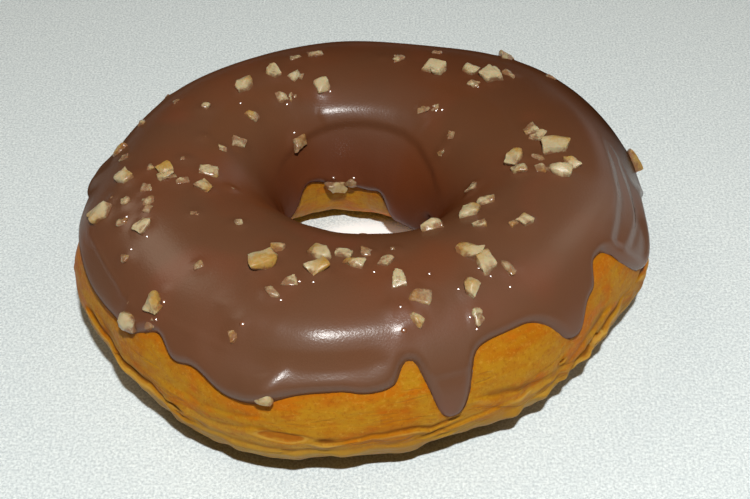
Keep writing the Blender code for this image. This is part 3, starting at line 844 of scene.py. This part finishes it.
class Nodes:
    """Short ways to add the nodes of one material, or of the world."""

    def __init__(self, owner, shader="Principled BSDF"):
        owner.use_nodes = True
        self.owner = owner
        self.tree = owner.node_tree
        self.shader = self.tree.nodes[shader]

    def feed(self, target, item):
        """Link a socket to the target, or set the target to a number, colour or vector."""
        if isinstance(item, bpy.types.NodeSocket):
            self.tree.links.new(item, target)
        else:
            target.default_value = item

    def add(self, kind, output, inputs, **settings):
        """Add a node, fill its inputs by name or number, and return one of its outputs."""
        node = self.tree.nodes.new("ShaderNode" + kind)
        for name, setting in settings.items():
            setattr(node, name, setting)
        for name, item in inputs.items():
            self.feed(node.inputs[name], item)
        return node.outputs[output]

    def place(self, kind="Object"):
        return self.add("TexCoord", kind, {})

    def noise(self, size, detail=3.0, roughness=0.5, stretch=None):
        """Noise of a size in millimetres."""
        place = self.place()
        if stretch:
            place = self.add("Mapping", 0, {"Vector": place, "Scale": stretch})
        return self.add("TexNoise", "Fac", {"Vector": place, "Scale": 1 / (size * MM),
                                            "Detail": detail, "Roughness": roughness})

    def value(self, name):
        """A number that set_values stored."""
        return self.add("Attribute", "Fac", {}, attribute_name=name)

    def spread(self, source, low, high, first=0.0, last=1.0):
        """Map low..high of a value to first..last, smoothly."""
        inputs = dict(enumerate((source, low, high, first, last)))
        return self.add("MapRange", 0, inputs, interpolation_type="SMOOTHSTEP")

    def maths(self, operation, first, second):
        return self.add("Math", 0, {0: first, 1: second}, operation=operation)

    def times(self, first, second):
        return self.maths("MULTIPLY", first, second)

    def most(self, first, second):
        return self.maths("MAXIMUM", first, second)

    def over(self, colour, *layers):
        """Lay colours over the first, each given as its share, red, green and blue."""
        for share, *tint in layers:
            inputs = {0: share, 6: colour, 7: srgb(*tint)}
            colour = self.add("Mix", 2, inputs, data_type="RGBA")
        return colour

    def bump(self, height, strength, distance, previous=None):
        inputs = {"Height": height, "Strength": strength, "Distance": distance}
        if previous:
            inputs["Normal"] = previous
        return self.add("Bump", "Normal", inputs)

    def finish(self, **inputs):
        """Fill the shader's inputs, named with _ in place of each space."""
        for name, item in inputs.items():
            self.feed(self.shader.inputs[name.replace("_", " ")], item)
        return self.owner


def bead_material():
    nodes = Nodes(bpy.data.materials.new("wet_icing"))
    darker = nodes.spread(nodes.noise(2.0, 2.0), 0.3, 0.7)
    colour = nodes.over(srgb(108, 66, 42), (darker, 118, 72, 46))
    return nodes.finish(Base_Color=colour, Roughness=0.18, IOR=1.5)


def icing_material():
    """Milk-chocolate icing: a soft broad sheen under a thin gloss, with redder patches, a painted
    sheen on its outer side, and painted shade at the back and down the hole.
    """
    nodes = Nodes(bpy.data.materials.new("milk_chocolate_icing"))
    across = nodes.value("across")
    x, y = (nodes.add("SeparateXYZ", axis, {0: nodes.place()}) for axis in "XY")
    # How far a place lies towards the back and right: used below for painted shade there, and for
    # less sheen.
    away = nodes.maths("ADD", y, nodes.times(x, 0.4))
    back = nodes.spread(away, 4 * MM, 40 * MM, 0, 0.7)
    colour = nodes.over(
        srgb(98, 61, 38),
        (nodes.spread(nodes.noise(22, 2.0), 0.42, 0.62), 104, 58, 32),
        (nodes.spread(nodes.noise(7, 3.0), 0.3, 0.7, 0, 0.35), 92, 59, 38),
        # Paler and greyer on the outer side: painted sheen.
        (nodes.spread(across, 82, 58, 0, 0.6), 97, 63, 42),
        # Darker and redder down the hole's wall: painted shade in the hole.
        (nodes.spread(across, 125, 165, 0, 0.65), 96, 43, 17),
        # Darker towards the back: painted shade.
        (back, 78, 42, 22),
        (nodes.spread(nodes.noise(15, 1.0, 0.4), 0.56, 0.75, 0, 0.35), 122, 60, 36),
        # Darker still low on the back, where the surface turns away: painted shade.
        (nodes.times(nodes.spread(across, 68, 34), back), 40, 24, 14),
    )
    normal = nodes.bump(nodes.noise(1.8, 2.0, 0.6), 0.2, 0.03 * MM)
    normal = nodes.bump(nodes.noise(0.35, 2.0, 0.6), 0.8, 0.03 * MM, normal)
    facing = nodes.add("LayerWeight", "Facing", {})
    shine = nodes.spread(nodes.value("dull"), 0, 1, 1, 0.06)
    coat = nodes.most(nodes.spread(facing, 0.55, 0.85, 0.5, 0.03), nodes.value("glossy"))
    sheen = nodes.times(nodes.spread(facing, 0.45, 0.8, 0.34, 0.0),
                        nodes.spread(back, 0, 0.7, 1, 0.4))
    sheen = nodes.times(sheen, nodes.spread(shine, 0, 1, 0.4, 1))
    return nodes.finish(
        Base_Color=colour, Normal=normal, Roughness=0.6, IOR=1.4, Specular_IOR_Level=sheen,
        Coat_Weight=nodes.times(coat, shine), Coat_Normal=normal, Coat_Roughness=0.25, Coat_IOR=1.45)


def dough_material():
    """Fried dough: golden orange by the icing, paler and yellower low down, with brown spots, painted
    shade in its folds and creases, and a painted highlight on the lips below the folds.
    """
    nodes = Nodes(bpy.data.materials.new("fried_dough"))
    below, across = nodes.value("below_icing"), nodes.value("across")
    patches, fold, scar = nodes.value("patches"), nodes.value("fold"), nodes.value("scar")
    flat = (0.5, 0.5, 1)
    mottle = nodes.noise(2.4, 4.0, 0.6, (0.45, 0.45, 1))
    streaks = nodes.noise(1.1, 3.0, 0.65, flat)
    orange = nodes.most(nodes.spread(below, 10, 0, 0, 0.75), nodes.spread(patches, 0.1, 0.8, 0, 0.9))
    low = nodes.times(nodes.spread(across, 9, -5, 0, 0.8), nodes.spread(patches, 0.6, -0.2))
    spots = nodes.times(nodes.spread(mottle, 0.5, 0.68), nodes.spread(patches, -0.4, 0.7, 0.1, 0.8))
    blush = nodes.times(nodes.spread(nodes.noise(5.5, 4.0, 0.65, flat), 0.52, 0.64),
                        nodes.spread(across, -6, 3, 0.1, 0.85))
    wander = nodes.maths("SUBTRACT", nodes.noise(4.6, 3.0, 0.45, (0.16, 0.16, 1)), 0.5)
    apart = nodes.spread(nodes.maths("ABSOLUTE", wander, 0), 0.0, 0.022)
    where = nodes.times(nodes.spread(below, 6, 14), nodes.spread(across, 8, -4, 0.35, 1))
    # Thin wandering creases: dented by a bump below, and darkened with painted shade.
    crease = nodes.times(nodes.spread(apart, 1, 0), where)
    rim = nodes.times(nodes.spread(scar, 0.03, 0.3), nodes.spread(scar, 0.8, 0.45))
    scarred = nodes.times(nodes.spread(scar, 0.4, 0.8), nodes.spread(mottle, 0.42, 0.6, 0.15, 0.8))
    colour = nodes.over(
        srgb(170, 119, 20),
        (orange, 168, 101, 5),
        (low, 172, 128, 46),
        (spots, 170, 84, 6),
        (nodes.spread(streaks, 0.42, 0.7, 0, 0.4), 160, 84, 4),
        (blush, 178, 98, 3),
        (nodes.spread(nodes.noise(0.6, 3.0, 0.75), 0.53, 0.65, 0, 0.42), 138, 72, 6),
        (nodes.spread(nodes.noise(0.8, 3.0, 0.75), 0.46, 0.34, 0, 0.35), 194, 144, 50),
        # Darker along the thin creases: painted shade.
        (nodes.spread(crease, 0, 1, 0, 0.35), 126, 72, 12),
        # Brown in the folds' grooves: painted shade.
        (nodes.spread(fold, -0.06, -0.38, 0, 0.85), 104, 54, 6),
        # Paler on the lips below the folds: painted highlight.
        (nodes.spread(fold, 0.05, 0.2, 0, 0.65), 192, 148, 66),
        (nodes.times(rim, 0.6), 178, 136, 58),
        (scarred, 146, 78, 12),
        (nodes.spread(across, -2, -14, 0, 0.65), 164, 124, 38),
        (nodes.spread(across, -16, -40, 0, 0.85), 112, 70, 18),
    )
    normal = nodes.bump(nodes.noise(3.0, 3.0, 0.55, flat), 0.6, 0.4 * MM)
    normal = nodes.bump(nodes.maths("SUBTRACT", 1, crease), 0.8, 0.2 * MM, normal)
    normal = nodes.bump(nodes.noise(0.9, 4.0, 0.6), 0.4, 0.2 * MM, normal)
    normal = nodes.bump(nodes.noise(0.28, 2.0, 0.6), 0.35, 0.04 * MM, normal)
    return nodes.finish(
        Base_Color=colour, Normal=normal, Roughness=nodes.spread(mottle, 0.3, 0.7, 0.45, 0.6),
        IOR=1.33, Specular_IOR_Level=0.2, Subsurface_Weight=0.05, Subsurface_Scale=1.2 * MM)


def nut_material():
    """Chopped nuts: cream to golden, with a brown film low down or all over."""
    nodes = Nodes(bpy.data.materials.new("chopped_nuts"))
    speckle = nodes.spread(nodes.noise(0.9, 3.0, 0.6), 0.35, 0.65, -0.15, 0.15)
    tone = nodes.maths("ADD", nodes.value("golden"), speckle)
    patchy = nodes.spread(nodes.noise(1.3, 3.0, 0.6), 0.3, 0.7, -0.45, 0.45)
    film = nodes.spread(nodes.maths("ADD", nodes.value("height"), patchy), 1.0, 0.12, 0, 0.82)
    coated = nodes.times(nodes.value("coated"),
                         nodes.spread(nodes.noise(0.8, 2.0), 0.3, 0.7, 0.4, 0.8))
    film = nodes.most(film, coated)
    colour = nodes.over(
        srgb(182, 165, 128),
        (nodes.spread(tone, 0.15, 0.95), 166, 128, 60),
        (nodes.spread(nodes.noise(0.6, 2.0), 0.6, 0.75, 0, 0.25), 152, 110, 56),
        (film, 122, 78, 54),
    )
    return nodes.finish(
        Base_Color=colour, Normal=nodes.bump(nodes.noise(0.5, 4.0, 0.65), 0.4, 0.06 * MM),
        Roughness=nodes.spread(film, 0.0, 0.8, 0.4, 0.22), IOR=1.46, Subsurface_Weight=0.2,
        Subsurface_Scale=0.7 * MM)


def floor_material():
    """Pale matt paper with a fine mottled grain, with a painted glow under the hole: paler there, and
    giving off light.
    """
    nodes = Nodes(bpy.data.materials.new("pale_floor"))
    away = nodes.add("VectorMath", "Value", {0: nodes.place()}, operation="LENGTH")
    # Painted glow: a disc under the hole, paler and giving off light of its own.
    painted_glow_under_hole = nodes.spread(away, 19 * MM, 15 * MM)
    colour = nodes.over(
        srgb(194, 204, 208),
        (nodes.spread(nodes.noise(0.45, 3.0, 0.75), 0.3, 0.7), 246, 254, 255),
        (nodes.spread(nodes.noise(2.2, 2.0, 0.5), 0.35, 0.65, 0, 0.1), 190, 202, 208),
        (painted_glow_under_hole, 252, 254, 254),
    )
    return nodes.finish(Base_Color=colour, Roughness=0.7, IOR=1.3, Emission_Color=srgb(255, 255, 252),
                        Emission_Strength=nodes.times(painted_glow_under_hole, 0.12))


def make_floor():
    corners = [(-FLOOR_REACH, -FLOOR_REACH, 0), (FLOOR_REACH, -FLOOR_REACH, 0),
               (FLOOR_REACH, FLOOR_REACH, 0), (-FLOOR_REACH, FLOOR_REACH, 0)]
    floor = mesh_object("floor", corners, [(0, 1, 2, 3)])
    floor.data.materials.append(floor_material())


def make_world():
    """Dim surroundings, brighter on the viewer's side, with three pale patches."""
    world = bpy.data.worlds.new("surroundings")
    bpy.context.scene.world = world
    nodes = Nodes(world, "Background")
    total = (0.0, 0.0, 0.0)
    for way, low, high, strength, tint in GLOWS:
        inputs = {0: nodes.place("Generated"), 1: Vector(way).normalized()}
        near = nodes.add("VectorMath", "Value", inputs, operation="DOT_PRODUCT")
        inputs = {0: tint, "Scale": nodes.spread(near, low, high, 0.0, strength)}
        glow = nodes.add("VectorMath", 0, inputs, operation="SCALE")
        total = nodes.add("VectorMath", 0, {0: glow, 1: total}, operation="ADD")
    nodes.finish(Color=total)


def make_flash():
    """A small flash just above the viewer."""
    lamp = bpy.data.lights.new("flash", "AREA")
    lamp.shape = "RECTANGLE"
    lamp.size, lamp.size_y = FLASH_SIZE
    lamp.energy = FLASH_POWER
    lamp.color = FLASH_TINT
    light = new_object("flash", lamp)
    light.location = FLASH_PLACE
    light.rotation_euler = Vector(FLASH_PLACE).to_track_quat("Z", "Y").to_euler()


def make_camera():
    aim, back = view()
    lens = bpy.data.cameras.new("camera")
    lens.lens = LENS
    lens.sensor_width = SENSOR_WIDTH
    lens.sensor_fit = "HORIZONTAL"
    lens.clip_start = 0.01
    camera = new_object("camera", lens)
    camera.location = aim + back * VIEW_DISTANCE
    camera.rotation_euler = back.to_track_quat("Z", "Y").to_euler()
    bpy.context.scene.camera = camera


def main():
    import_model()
    draw = np.random.default_rng(NUT_SEED)
    nuts, nut_spots = make_chips("nut_pieces", nut_places(draw), NUT_SINK, draw, NUT_FORM_SEED)
    crumbs, crumb_spots = make_chips("nut_crumbs", CRUMBS, CRUMB_SINK,
                                     np.random.default_rng(CRUMB_SEED), CRUMB_FORM_SEED)
    icing = make_icing(nut_spots + crumb_spots)
    dough = make_dough()

    nut_look = nut_material()
    for piece, look, slot, node in (
        (dough, dough_material(), "fried_dough", "dough"),
        (icing, icing_material(), "chocolate_icing", "icing"),
        (nuts, nut_look, "chopped_nuts", "icing"),
        (crumbs, nut_look, "chopped_nuts", None),
        (make_beads(icing), bead_material(), "chocolate_icing", None),
    ):
        piece.data.materials.append(look)
        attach(piece, "root")
        if node:
            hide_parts(node)

    make_floor()
    make_world()
    make_flash()
    make_camera()
    bpy.context.scene.view_settings.view_transform = "Standard"


main()
